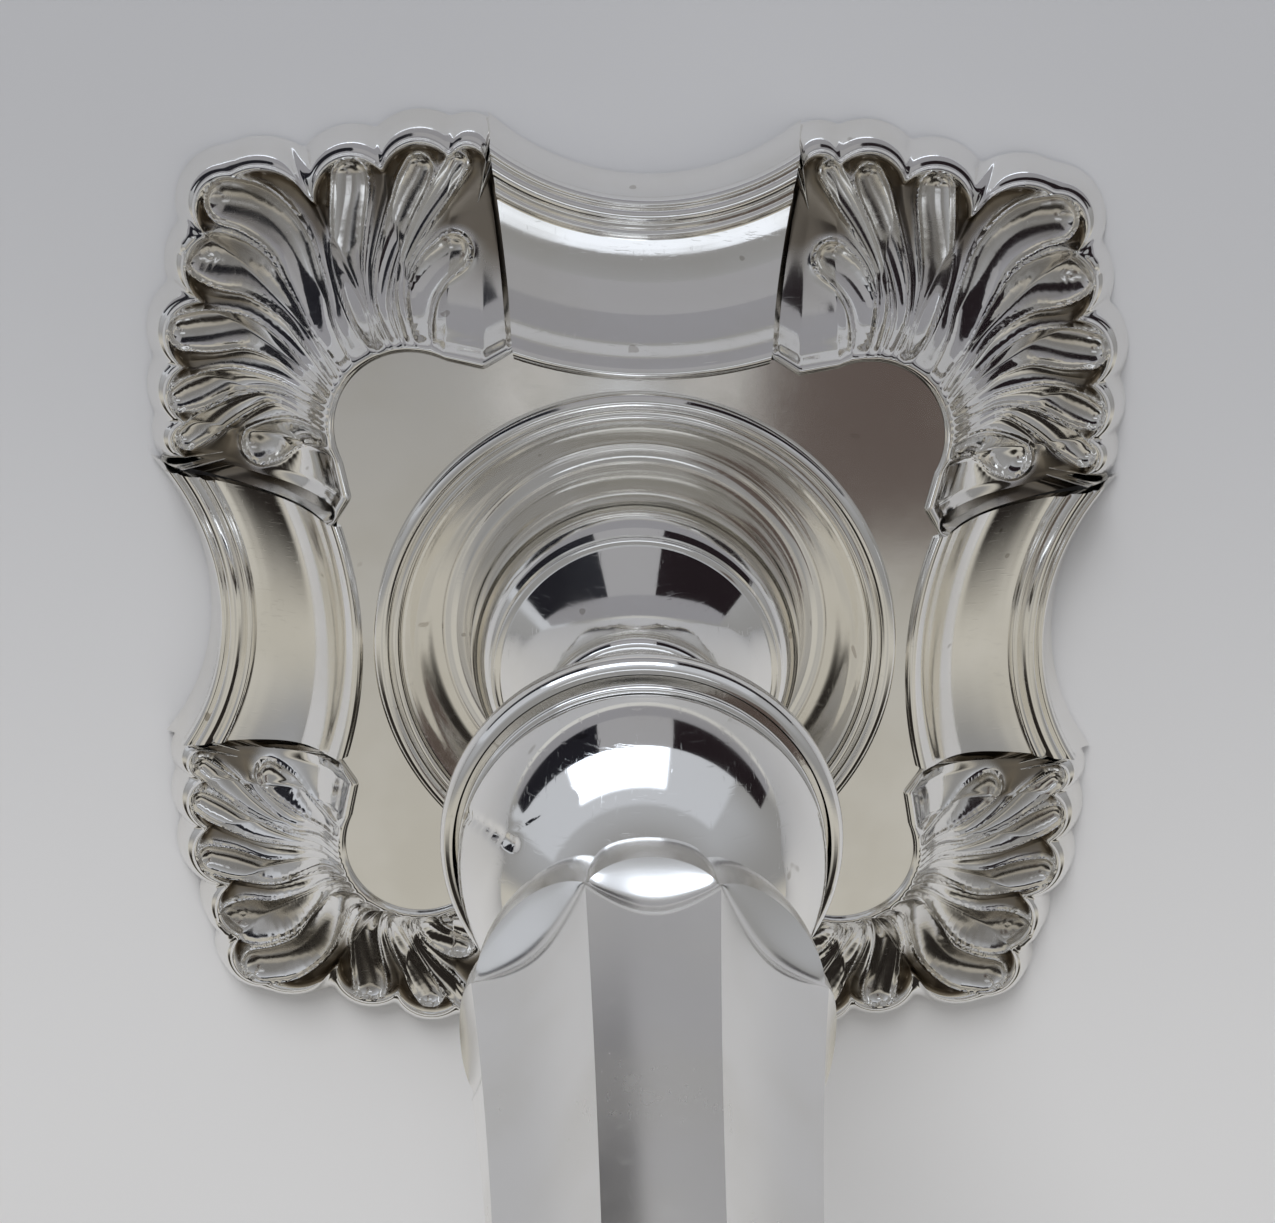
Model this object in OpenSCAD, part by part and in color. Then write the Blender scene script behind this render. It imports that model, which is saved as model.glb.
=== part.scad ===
// Silver table candlestick: square shell-cornered base, knopped and fluted stem,
// vase socket and lift-out nozzle. Millimetres, +Z up, origin at the centre of the
// underside of the baize.

/* [Base] */
// width of the base across the shell corners, at the foot
base_w = 135; // [118:1:160]
// height of the flat platform above the table
base_h = 19.6; // [18:0.2:26]
// depth of the round well sunk in the platform
well_depth = 8; // [6:0.5:9]
// outside diameter of the ring moulding round the well
ring_d = 69.2; // [66:0.2:69.6]

/* [Stem] */
// height of the spool and bead that stand on the dome
neck_h = 21.8; // [18:0.2:30]
// height of the cup that holds the ball
cup_h = 30; // [25:0.5:40]
// outside diameter of the cup's rim
cup_d = 41.4; // [40:0.2:48]
// diameter of the ball knop
ball_d = 37.2; // [32:0.2:38]
// height of the fluted column above the ball
column_h = 98; // [80:1:130]
// diameter of the column over its arrises, at the lower end
column_d = 31.6; // [27:0.2:34]
// diameter of the column over its arrises, at the upper end
column_top_d = 16; // [14:0.2:20]
// diameter of the steel rod through the stem
rod_d = 5; // [4:0.5:6]

/* [Socket and nozzle] */
// height of the vase socket
socket_h = 44; // [38:1:52]
// diameter of the socket at its widest
socket_d = 36; // [34:0.5:42]
// diameter of the candle hole in the nozzle
candle_d = 22.2; // [20:0.1:23]
// depth of the candle hole
candle_depth = 25; // [20:0.5:28]
// width of the nozzle's drip pan across its shell corners
pan_w = 70; // [62:1:80]

/* [Hidden] */
$fn = 96;
silver = [0.86, 0.86, 0.85];
steel = [0.5, 0.5, 0.52];
// plan sizes of the base are drawn for a base 135 wide and multiplied by kb
kb = base_w / 135;
foot_z = 0.4;
ball_neck = 4.3;
nozzle_gap = 0.3;
pad_t = 1;
board_t = 2.2;
// heights of the joints up the stem
dome_z = base_h + 10;
bead_z = dome_z + neck_h - 3.4;
cup_z = dome_z + neck_h;
rim_z = cup_z + cup_h;
seat_z = rim_z - 3.4;
ball_r = ball_d / 2;
neck_z = seat_z + 5 + ball_r * 0.93;
// the ball's own neck carries the column clear of it
col_z = neck_z + ball_neck;
lip_z = col_z + 12;
cap_z = col_z + column_h;
knop_z = cap_z + 5;
vase_z = knop_z + 24;
pan_z = vase_z + socket_h;
lip_top = pan_z + 4.2;
tube_r = candle_d / 2 + 0.9;
tube_bot = lip_top - candle_depth - 0.9;
liner_r = tube_r + 0.9;
rod_r = rod_d / 2;
rod_hole = rod_r + 0.25;
rod_top = vase_z + 13;
side_c = 92 * kb;
in_r = 55.9 * kb;
corner_c = 29.2 * kb;
corner_r = 9.9 * kb;
flare = 3.3;
// each lobe of a shell: centre x, centre y, radius
lobes = [[23, 61.6, 2.5], [29.2, 59.2, 5.2], [38, 57, 5.3], [50, 53.5, 7],
  [54.2, 54.8, 4.6], [55.7, 47, 5], [58.6, 37.9, 5], [59.6, 30.1, 4.4],
  [61.3, 23.8, 2.4]];
// each flute: direction at the rim, half its spread, both in degrees, and where it starts and stops
flutes = [[100.4, 3, 0.15, 0.93], [90.5, 5.6, 0.15, 0.93], [73, 6.6, 0.15, 0.93],
  [49, 9, 0.2, 0.92], [32.5, 6.8, 0.18, 0.93], [15, 6.2, 0.15, 0.93], [1.5, 5, 0.15, 0.93],
  [-9.2, 3, 0.15, 0.93]];
// drop of a shell's upper face from its inner edge, 0, to its rim, 1
shell_face = [[0, 0.6], [0.045, 0.3], [0.1, -1.8], [0.17, -4.4], [0.27, -7], [0.4, -9.3],
  [0.56, -11.2], [0.72, -12.6], [0.86, -13.4], [0.96, -13.9], [1, -14.2]];
// stations round a shell from seam to seam
shell_steps = 64;
// drop of a side's upper face against distance from the middle of the base
side_face = [[36.1, 0.5], [36.7, 0.8], [37.3, 0.5], [38.6, -1], [40.4, -4],
  [42.8, -7], [45.6, -9.2], [48.8, -10.7], [52.4, -11.5], [52.9, -11], [53.6, -10.9],
  [54.2, -11.7], [54.9, -11.2], [56.2, -11.2], [57.3, -12.2], [57.7, -14.2],
  [58.7, -17]];

// ---- base ----

module platform() {
  color(silver)
    difference() {
      translate([0, 0, base_h - 1.4]) {
        linear_extrude(1.4)
          polygon(kb * [[15.5, 39.8], [20, 37.1], [27.5, 38.6], [38.6, 27.5], [37.1, 20], [39.8, 15.5],
            [39.8, -15.5], [37.1, -20], [38.6, -27.5], [27.5, -38.6], [20, -37.1], [15.5, -39.8],
            [-15.5, -39.8], [-20, -37.1], [-27.5, -38.6], [-38.6, -27.5], [-37.1, -20], [-39.8, -15.5],
            [-39.8, 15.5], [-37.1, 20], [-38.6, 27.5], [-27.5, 38.6], [-20, 37.1], [-15.5, 39.8]]);
        for (x = [-1, 1])
          for (y = [-1, 1])
            translate([x * corner_c, y * corner_c])
              cylinder(h = 1.4, r = corner_r);
      }
      for (a = [0 : 90 : 270])
        rotate(a)
          translate([0, side_c, base_h - 3])
            cylinder(h = 6, r = in_r, $fn = 192);
      translate([0, 0, base_h - 3])
        cylinder(h = 6, r = ring_d / 2 - 3.6);
    }
}

// one incurved side, drawn at +Y, its cross-section turned about a point outside the base
module side() {
  section = concat([for (q = side_face) [(92 - q[0]) * kb, q[1]]],
    [[(92 - 60.2) * kb, foot_z - base_h], [(92 - 58.5) * kb, foot_z - base_h],
     [(92 - 57.2) * kb, -15.4], [(92 - 56.1) * kb, -14.2], [(92 - 55.7) * kb, -13],
     [(92 - 52.4) * kb, -13.1], [(92 - 48.4) * kb, -12.3], [(92 - 44.8) * kb, -10.7],
     [(92 - 41.6) * kb, -8.2], [(92 - 39) * kb, -5], [(92 - 37.4) * kb, -2], [(92 - 36.1) * kb, -1.4]]);
  color(silver)
    intersection() {
      translate([0, side_c, base_h])
        rotate_extrude($fn = 192)
          polygon(section);
      linear_extrude(base_h + 2)
        polygon(kb * [[-16.3, 39.4], [-10, 30], [10, 30], [16.3, 39.4], [20.5, 67.2],
          [20.5, 70], [-20.5, 70], [-20.5, 67.2]]);
    }
}

function mix(a, b, t) = a + (b - a) * t;
function unit(v) = v / norm(v);
// distance from the corner's centre to the edge of the lobes, each grown by extra
function reach(ang, extra) =
  let (u = [cos(ang), sin(ang)])
  max([for (l = lobes)
    let (d = [l[0] - 29.2, l[1] - 29.2], b = d * u, c = b * b - d * d + pow(l[2] + extra, 2))
    c > 0 ? b + sqrt(c) : 32.4 + extra]);
function on_corner(r, ang) = [29.2 + r * cos(ang), 29.2 + r * sin(ang)];
function inner_pt(s) =
  s < 0.035 ? mix([16.3, 39.4], [20, 37.1], s / 0.035)
  : s < 0.07 ? mix([20, 37.1], on_corner(9.93, 116), (s - 0.035) / 0.035)
  : s <= 0.93 ? on_corner(9.93, mix(116, -26, (s - 0.07) / 0.86))
  : s <= 0.965 ? mix(on_corner(9.93, -26), [37.1, 20], (s - 0.93) / 0.035)
  : mix([37.1, 20], [39.4, 16.3], (s - 0.965) / 0.035);
function rim_ang(s) = mix(105.4, -15.4, s);
function foot_pt(s) =
  s == 0 ? [20.44, 66.8] : s == 1 ? [66.8, 20.44] : on_corner(reach(rim_ang(s), flare / kb), rim_ang(s));
function rim_pt(s) =
  s == 0 ? mix(inner_pt(0), foot_pt(0), 0.82) : s == 1 ? mix(inner_pt(1), foot_pt(1), 0.82)
  : on_corner(reach(rim_ang(s), 0), rim_ang(s));
// hollow of the flutes at station s and position v across the face
function hollow(s, v) =
  let (a = rim_ang(s))
  max([for (f = flutes)
    let (t = 1 - abs(a - f[0]) / f[1])
    t > 0 && v > f[2] && v < f[3] ? 1.2 * sqrt(t) * min(1, (v - f[2]) * 4) : 0]);
function shell_row(s) =
  let (a = inner_pt(s), b = rim_pt(s), c = foot_pt(s), d = unit(c - a), n = len(shell_face))
  concat(
    [for (q = shell_face)
      let (m = mix(a, b, q[0]))
      [m[0] * kb, m[1] * kb, base_h + q[1] - hollow(s, q[0])]],
    [for (q = [[mix(b, c, 0.3), base_h - 16], [c, foot_z], [c - d * 1.8, foot_z],
        [b - d * 1.6, base_h - 16.3], [mix(a, b, 0.7), base_h - 15.3], [mix(a, b, 0.4), base_h - 12.4],
        [mix(a, b, 0.17), base_h - 7.4], [mix(a, b, 0.07), base_h - 3.6], [a, base_h - 1.4]])
      [q[0][0] * kb, q[0][1] * kb, q[1]]]);

// one cast shell corner, drawn at +X +Y
module shell() {
  m = len(shell_face) + 9;
  n = shell_steps;
  pts = [for (i = [0 : n]) each shell_row(i / n)];
  sides = [for (i = [0 : n - 1]) for (k = [0 : m - 1])
    let (p = i * m + k, q = i * m + (k + 1) % m)
    each [[p, q, q + m], [p, q + m, p + m]]];
  color(silver)
    polyhedron(points = pts, faces = concat(sides, [[for (k = [m - 1 : -1 : 0]) k]],
      [[for (k = [0 : m - 1]) n * m + k]]));
}

module well_dish() {
  rr = ring_d / 2;
  wd = well_depth;
  color(silver)
    translate([0, 0, base_h])
      rotate_extrude()
        polygon([[rr, 0], [rr + 0.1, 0.7], [rr - 0.3, 1.5], [rr - 1.1, 2], [rr - 2, 1.9],
          [rr - 2.8, 1.3], [rr - 3.4, 0.6], [rr - 4.1, 0.4], [rr - 4.5, -0.9], [rr - 5.3, -wd * 0.42],
          [rr - 6.5, -wd * 0.71], [rr - 7.9, -wd * 0.88], [rr - 8.5, -wd], [25, -wd],
          [23.4, -wd * 0.92], [22.3, -wd * 0.7], [21.8, -wd * 0.3], [21.8, 0], [21.6, 3], [21, 6],
          [20, 8.6], [19.2, 9.6], [18.5, 10], [rod_hole, 10], [rod_hole, 8.6], [18.2, 8.6], [19, 7.6],
          [19.9, 5.6], [20.4, 2.8], [20.6, 0], [20.6, -wd * 0.3], [21.1, -wd * 0.7], [22.3, -wd - 0.7],
          [24.6, -wd - 1.3], [rr - 8, -wd - 1.3], [rr - 6.9, -wd * 0.95], [rr - 5.6, -wd * 0.8],
          [rr - 4.4, -wd * 0.45], [rr - 3.7, -1.4], [rr - 3.7, 0]]);
}

// ---- stem ----

module neck_spool() {
  h = neck_h - 3.4;
  color(silver)
    translate([0, 0, dome_z])
      rotate_extrude()
        polygon([[rod_hole, 0], [18.3, 0], [18.1, 0.3], [15.6, h * 0.07], [13.2, h * 0.16],
          [11.3, h * 0.3], [10.1, h * 0.47], [9.6, h * 0.63], [9.6, h * 0.8], [10, h * 0.92],
          [10.7, h], [rod_hole, h]]);
}

module neck_bead() {
  color(silver)
    translate([0, 0, bead_z])
      rotate_extrude()
        polygon([[rod_hole, 0], [10.7, 0], [11.7, 0.5], [12.2, 1.3], [12.2, 2.1], [11.7, 2.9],
          [10.7, 3.4], [rod_hole, 3.4]]);
}

module knop_cup() {
  cr = cup_d / 2;
  h = cup_h;
  color(silver)
    translate([0, 0, cup_z])
      rotate_extrude()
        polygon([[rod_hole, 0], [10.2, 0], [9.6, h * 0.06], [9.5, h * 0.13], [10.2, h * 0.23],
          [12, h * 0.36], [cr - 6, h * 0.55], [cr - 3.1, h * 0.72], [cr - 1.4, h * 0.84], [cr - 1.2, h - 3.9],
          [cr - 0.3, h - 3.3], [cr, h - 2.3], [cr - 0.1, h - 1.1], [cr - 0.9, h - 0.2], [ball_r + 0.7, h],
          [ball_r + 0.5, h - 0.4], [ball_r + 0.5, h - 3.4], [rod_hole, h - 3.4]]);
}

module knop_ball() {
  color(silver)
    translate([0, 0, seat_z])
      difference() {
        union() {
          intersection() {
            translate([0, 0, 5]) sphere(r = ball_r, $fn = 128);
            translate([0, 0, 5.4]) cylinder(h = ball_r, r = ball_r + 1);
          }
          cylinder(h = 4.8, r = ball_r);
          translate([0, 0, 4.8]) cylinder(h = 0.6, r1 = ball_r, r2 = ball_r - 0.3);
          rotate_extrude()
            polygon([[0, 5], [9.4, ball_r * 0.84 + 5], [8, ball_r * 0.93 + 5], [7.4, ball_r * 0.93 + 6.4],
              [7.4, col_z - seat_z], [0, col_z - seat_z]]);
        }
        translate([0, 0, -1]) cylinder(h = 60, r = rod_hole);
      }
}

// the shaft is cut by eight hollow flutes, narrow on the four faces and wide between them
module fluted_column() {
  r0 = column_d / 2;
  r1 = column_top_d / 2;
  run = cap_z - lip_z - 3;
  lean = atan((r0 - r1) / run);
  color(silver)
    difference() {
      translate([0, 0, col_z])
        rotate_extrude()
          polygon([[rod_hole, 0], [8.4, 0], [9.6, 0.6], [11.6, 2.4], [13.6, 5], [14.9, 7.6],
            [r0 - 0.1, 9.8], [r0 + 0.2, 11.2], [r0 + 0.1, 12], [r0, 12.2], [r1, 12 + run],
            [r1 + 0.8, 13.4 + run], [r1 + 1.2, column_h - 0.6], [r1 + 1, column_h],
            [rod_hole, column_h]]);
      for (i = [0 : 7]) {
        half = i % 2 == 0 ? 20.5 : 24.5;
        fr = i % 2 == 0 ? 15 : 19;
        sink = i % 2 == 0 ? 1 : 1.1;
        rotate([0, 0, i * 45])
          translate([r0 * cos(half) - sink + fr, 0, lip_z + 0.6])
            rotate([0, -lean, 0])
              translate([0, 0, 0.4])
                cylinder(h = run - 1, r = fr, $fn = 96);
      }
      for (a = [-1, 1])
        for (q = [0 : 90 : 270])
          rotate([0, 0, q + a * 20.5])
            translate([r0 + 0.9, 0, lip_z - 7.4])
              rotate([0, 8, 0])
                cylinder(h = 9, r = 1.5, $fn = 24);
    }
}

module column_cap() {
  r = column_top_d / 2;
  color(silver)
    translate([0, 0, cap_z])
      rotate_extrude()
        polygon([[rod_hole, 0], [r + 1, 0], [r + 2.4, 0.6], [r + 2.9, 1.6], [r + 2.4, 2.7],
          [r + 0.9, 3.2], [r - 0.4, 4], [r - 0.8, 5], [rod_hole, 5]]);
}

module upper_knop() {
  color(silver)
    translate([0, 0, knop_z])
      rotate_extrude()
        polygon([[rod_hole, 0], [7.2, 0], [8.4, 0.8], [11, 2.4], [12.8, 4.8], [13.3, 7.2],
          [12.9, 9.6], [11.2, 12], [8.8, 13.8], [7.2, 15], [6.3, 17], [6.2, 19], [6.9, 21], [8.8, 22.4],
          [9.2, 23.2], [8.8, 24], [rod_hole, 24]]);
}

// ---- socket and nozzle ----

module socket_vase() {
  sr = socket_d / 2;
  h = socket_h;
  color(silver)
    translate([0, 0, vase_z])
      rotate_extrude()
        polygon([[rod_hole, 0], [8, 0], [8.6, 0.8], [10.6, 2.6], [14, h * 0.14], [sr - 1.4, h * 0.26],
          [sr - 0.2, h * 0.38], [sr, h * 0.47], [sr - 0.5, h * 0.58], [sr - 1.9, h * 0.7],
          [sr - 2.6, h * 0.8], [sr - 2.4, h * 0.88], [sr - 1.4, h * 0.94], [sr - 1.2, h - 0.9],
          [sr - 1.7, h], [liner_r, h], [liner_r, tube_bot - vase_z - 2.2], [rod_hole, tube_bot - vase_z - 2.2]]);
}

module socket_liner() {
  color(steel)
    translate([0, 0, tube_bot - 2.2])
      difference() {
        cylinder(h = pan_z - tube_bot + 2.2, r = liner_r);
        translate([0, 0, 1])
          cylinder(h = pan_z, r = tube_r + nozzle_gap);
      }
}

// body of the drip pan in plan: the base's outline, smaller
module pan_body() {
  k = pan_w / 135 * 67.5 / 64;
  scale(k)
    difference() {
      union() {
        for (x = [-1, 1])
          for (y = [-1, 1])
            for (l = lobes)
              translate([x * l[0], y * l[1], 0])
                cylinder(h = 14, r = l[2], $fn = 48);
        linear_extrude(14)
          polygon([[20.6, 61.4], [29.2, 61], [38, 58.5], [44, 54.4], [50, 57], [56, 56], [56.8, 50], [58.6, 43],
            [60.4, 38], [60.9, 30], [61.4, 20.6], [61.4, -20.6], [60.9, -30], [60.4, -38], [58.6, -43],
            [56.8, -50], [56, -56], [50, -57], [44, -54.4], [38, -58.5], [29.2, -61], [20.6, -61.4],
            [-20.6, -61.4], [-29.2, -61], [-38, -58.5], [-44, -54.4], [-50, -57], [-56, -56], [-56.8, -50],
            [-58.6, -43], [-60.4, -38], [-60.9, -30], [-61.4, -20.6], [-61.4, 20.6], [-60.9, 30],
            [-60.4, 38], [-58.6, 43], [-56.8, 50], [-56, 56], [-50, 57], [-44, 54.4], [-38, 58.5],
            [-29.2, 61], [-20.6, 61.4]]);
      }
      for (a = [0 : 90 : 270])
        rotate(a)
          translate([0, 92, -1])
            cylinder(h = 20, r = 36, $fn = 128);
    }
}

module nozzle_pan() {
  color(silver)
    translate([0, 0, pan_z])
      intersection() {
        pan_body();
        rotate_extrude($fn = 128)
          polygon([[tube_r, 0], [socket_d / 2 + 1.4, 0], [socket_d / 2 + 2.6, 0.7], [26, 1.6], [32, 3],
            [58, 5.4], [58, 6.8], [32, 4.4], [25.4, 2.9], [20, 1.8], [tube_r + 2.6, 1.5],
            [tube_r + 1.8, 2.1], [tube_r, 2.1]]);
      }
}

module nozzle_tube() {
  r = candle_d / 2;
  color(silver)
    rotate_extrude()
      polygon([[0, tube_bot], [tube_r, tube_bot], [tube_r, pan_z + 2.1], [tube_r + 1.2, pan_z + 2.4],
        [tube_r + 1.7, pan_z + 3.2], [tube_r + 1.2, lip_top - 0.1], [tube_r + 0.5, lip_top], [r, lip_top],
        [r, tube_bot + 0.9], [0, tube_bot + 0.9]]);
}

// ---- inside ----

module tie_rod() {
  color(steel)
    translate([0, 0, base_h + 1.6])
      cylinder(h = rod_top - base_h - 1.6, r = rod_r);
}

module rod_washer() {
  color(steel)
    translate([0, 0, base_h + 7.4])
      difference() {
        cylinder(h = 1.2, r = 9);
        translate([0, 0, -1])
          cylinder(h = 4, r = rod_r + 0.25);
      }
}

module rod_nut() {
  color(steel)
    translate([0, 0, base_h + 3.4])
      difference() {
        cylinder(h = 4, r = rod_r * 1.85, $fn = 6);
        translate([0, 0, -1])
          cylinder(h = 6, r = rod_r);
      }
}

module pitch_filling() {
  bot = pad_t + board_t;
  color([0.12, 0.1, 0.09])
    rotate_extrude()
      polygon([[7, bot], [44 * kb, bot], [42 * kb, bot + 2], [35 * kb, base_h - 3], [ring_d / 2 - 2.6, base_h - 2],
        [ring_d / 2 - 3.4, base_h - 4.4], [ring_d / 2 - 5.2, base_h - well_depth - 1.2],
        [ring_d / 2 - 6.6, base_h - well_depth - 2], [22, base_h - well_depth - 2],
        [19.8, base_h - well_depth], [19.4, base_h], [18, base_h + 2.6], [7, base_h + 2.6]]);
}

// the board fills the base inside the skirt; the baize is cut a little smaller
module board_body(in, thick) {
  h = 54.5 * kb - in;
  d = 96 * kb - in * 1.4;
  difference() {
    linear_extrude(thick)
      polygon([[d - h, h], [h, d - h], [h, h - d], [d - h, -h], [h - d, -h], [-h, h - d], [-h, d - h],
        [h - d, h]]);
    for (a = [0 : 90 : 270])
      rotate(a)
        translate([0, side_c, -1])
          cylinder(h = thick + 2, r = 36.8 * kb + in, $fn = 128);
  }
}

module base_board() {
  color([0.45, 0.3, 0.18])
    translate([0, 0, pad_t])
      board_body(0, board_t);
}

module baize_pad() {
  color([0.1, 0.3, 0.2])
    board_body(1, pad_t);
}

platform();
side();  // side_back
rotate([0, 0, 90]) side();  // side_left
rotate([0, 0, 180]) side();  // side_front
rotate([0, 0, 270]) side();  // side_right
shell();  // shell_back_right
mirror([1, 0, 0]) shell();  // shell_back_left
mirror([0, 1, 0]) shell();  // shell_front_right
rotate([0, 0, 180]) shell();  // shell_front_left
well_dish();
neck_spool();
neck_bead();
knop_cup();
knop_ball();
fluted_column();
column_cap();
upper_knop();
socket_vase();
socket_liner();
nozzle_pan();
nozzle_tube();
tie_rod();
rod_washer();
rod_nut();
pitch_filling();
base_board();
baize_pad();
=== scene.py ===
import math
import bpy
import numpy as np
from mathutils import Matrix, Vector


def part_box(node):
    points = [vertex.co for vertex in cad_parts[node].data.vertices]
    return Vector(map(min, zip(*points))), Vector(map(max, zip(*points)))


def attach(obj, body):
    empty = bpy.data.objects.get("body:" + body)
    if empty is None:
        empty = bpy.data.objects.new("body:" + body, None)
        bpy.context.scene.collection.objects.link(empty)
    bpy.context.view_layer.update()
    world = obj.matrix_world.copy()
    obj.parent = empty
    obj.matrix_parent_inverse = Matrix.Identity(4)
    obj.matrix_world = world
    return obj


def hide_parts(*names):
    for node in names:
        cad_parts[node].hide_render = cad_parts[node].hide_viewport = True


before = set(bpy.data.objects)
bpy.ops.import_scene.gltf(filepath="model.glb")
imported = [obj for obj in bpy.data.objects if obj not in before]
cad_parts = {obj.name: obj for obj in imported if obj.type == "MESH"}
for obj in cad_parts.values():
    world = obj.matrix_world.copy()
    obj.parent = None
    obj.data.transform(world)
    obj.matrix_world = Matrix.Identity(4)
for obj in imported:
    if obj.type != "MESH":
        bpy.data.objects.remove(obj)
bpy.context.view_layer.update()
mm = 0.001


def low(node):
    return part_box(node)[0].z / mm


def high(node):
    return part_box(node)[1].z / mm


baseTop = high("platform")
print("frame loaded, platform at", round(baseTop, 1), "mm")

# camera: close over the base, looking down past the column
cameraSetting = {"place": (-4.594, 83.724, 254.918), "tilt": (-18.4543, -1.1066, 1.0094), "lens": 53.045}


def placeCamera(s):
    camera = bpy.data.objects.new("camera", bpy.data.cameras.new("camera"))
    bpy.context.scene.collection.objects.link(camera)
    turn = Matrix.Identity(3)
    for angle, axis in zip(s["tilt"], "XYZ"):
        turn = turn @ Matrix.Rotation(math.radians(angle), 3, axis)
    camera.matrix_world = Matrix.Translation([c * mm for c in s["place"]]) @ turn.to_4x4()
    camera.data.lens = s["lens"]
    camera.data.sensor_width = 36
    camera.data.clip_start = 0.01
    bpy.context.scene.camera = camera


placeCamera(cameraSetting)


# ---- shaping ----

def deselectAll():
    bpy.ops.object.select_all(action="DESELECT")


# a smooth line through given points, each kept
def softLine(points, per=6):
    line = []
    for i in range(len(points) - 1):
        run = (points[max(i - 1, 0)], points[i], points[i + 1], points[min(i + 2, len(points) - 1)])
        for k in range(per):
            t = k / per
            line.append(tuple(
                0.5 * (2 * b + (c - a) * t + (2 * a - 5 * b + 4 * c - d) * t ** 2
                       + (3 * b - a - 3 * c + d) * t ** 3)
                for a, b, c, d in zip(*run)))
    line.append(tuple(points[-1]))
    return line


# strokes of three or more points are curves, strokes of two are straight, and they meet at corners
def joinStrokes(strokes, per=6):
    outline = []
    for stroke in strokes:
        line = softLine(stroke, per) if len(stroke) > 2 else [tuple(p) for p in stroke]
        if outline:
            line = line[1:]
        outline += line
    return outline


def readPoints(piece):
    flat = np.zeros(len(piece.data.vertices) * 3)
    piece.data.vertices.foreach_get("co", flat)
    return flat.reshape(-1, 3) / mm


def writePoints(piece, points):
    piece.data.vertices.foreach_set("co", (points * mm).astype(np.float32).ravel())
    piece.data.update()


def tidyMesh(piece, smooth=40, fillEnds=False):
    deselectAll()
    piece.select_set(True)
    bpy.context.view_layer.objects.active = piece
    bpy.ops.object.mode_set(mode="EDIT")
    bpy.ops.mesh.select_all(action="SELECT")
    bpy.ops.mesh.remove_doubles(threshold=0.000002)
    if fillEnds:
        bpy.ops.mesh.select_all(action="SELECT")
        bpy.ops.mesh.fill_holes(sides=0)
    bpy.ops.mesh.select_all(action="SELECT")
    bpy.ops.mesh.normals_make_consistent(inside=False)
    bpy.ops.object.mode_set(mode="OBJECT")
    bpy.ops.object.shade_smooth_by_angle(angle=math.radians(smooth))


# a half-section drawn point by point and spun round the stem's axis
def spinPiece(name, section, steps=160, smooth=40):
    deselectAll()
    bpy.ops.mesh.primitive_plane_add(size=mm)
    piece = bpy.context.object
    piece.name = name
    piece.data.name = name
    bpy.ops.object.mode_set(mode="EDIT")
    bpy.ops.mesh.select_all(action="SELECT")
    bpy.ops.mesh.merge(type="CENTER")
    here = section[0]
    bpy.ops.transform.translate(value=(here[0] * mm, 0, here[1] * mm))
    for point in section[1:] + section[:1]:
        step = ((point[0] - here[0]) * mm, 0, (point[1] - here[1]) * mm)
        bpy.ops.mesh.extrude_region_move(TRANSFORM_OT_translate={"value": step})
        here = point
    bpy.ops.mesh.select_all(action="SELECT")
    bpy.ops.mesh.spin(steps=steps, angle=2 * math.pi, center=(0, 0, 0), axis=(0, 0, 1))
    bpy.ops.object.mode_set(mode="OBJECT")
    tidyMesh(piece, smooth)
    return piece


# a plain sheet of columns and rows, to be thrown into shape
def gridPiece(name, columns, rows):
    deselectAll()
    bpy.ops.mesh.primitive_grid_add(x_subdivisions=columns, y_subdivisions=rows, size=1)
    piece = bpy.context.object
    piece.name = name
    piece.data.name = name
    points = readPoints(piece) * mm
    column = np.round((points[:, 0] + 0.5) * columns).astype(int)
    row = np.round((points[:, 1] + 0.5) * rows).astype(int)
    return piece, column, row


def softenEdges(piece, width=0.2, angle=35):
    deselectAll()
    piece.select_set(True)
    bpy.context.view_layer.objects.active = piece
    bevel = piece.modifiers.new("edges", "BEVEL")
    bevel.width = width * mm
    bevel.segments = 3
    bevel.limit_method = "ANGLE"
    bevel.angle_limit = math.radians(angle)
    bpy.ops.object.modifier_apply(modifier="edges")
    bpy.ops.object.shade_smooth_by_angle(angle=math.radians(40))


def copyPiece(piece, name, across, along, turn=0):
    double = piece.copy()
    double.data = piece.data.copy()
    double.name = name
    double.data.name = name
    bpy.context.scene.collection.objects.link(double)
    double.data.transform(Matrix.Diagonal((across, along, 1, 1)))
    double.data.transform(Matrix.Rotation(math.radians(turn), 4, "Z"))
    if across * along < 0:
        double.data.flip_normals()
    return double


def mount(piece, body, slot, finish, *nodes):
    piece.data.materials.clear()
    piece.data.materials.append(finish)
    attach(piece, body)
    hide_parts(*nodes)
    return piece


# ---- finishes ----

# one output of a node; sums and products of wires become Math nodes
class Wire:
    def __init__(self, tree, socket):
        self.tree = tree
        self.socket = socket

    def maths(self, operation, first, second):
        return self.tree.add("ShaderNodeMath", {"operation": operation}, {0: first, 1: second})

    def __add__(self, other):
        return self.maths("ADD", self, other)

    def __radd__(self, other):
        return self.maths("ADD", other, self)

    def __sub__(self, other):
        return self.maths("SUBTRACT", self, other)

    def __rsub__(self, other):
        return self.maths("SUBTRACT", other, self)

    def __mul__(self, other):
        return self.maths("MULTIPLY", self, other)

    def __rmul__(self, other):
        return self.maths("MULTIPLY", other, self)


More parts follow.
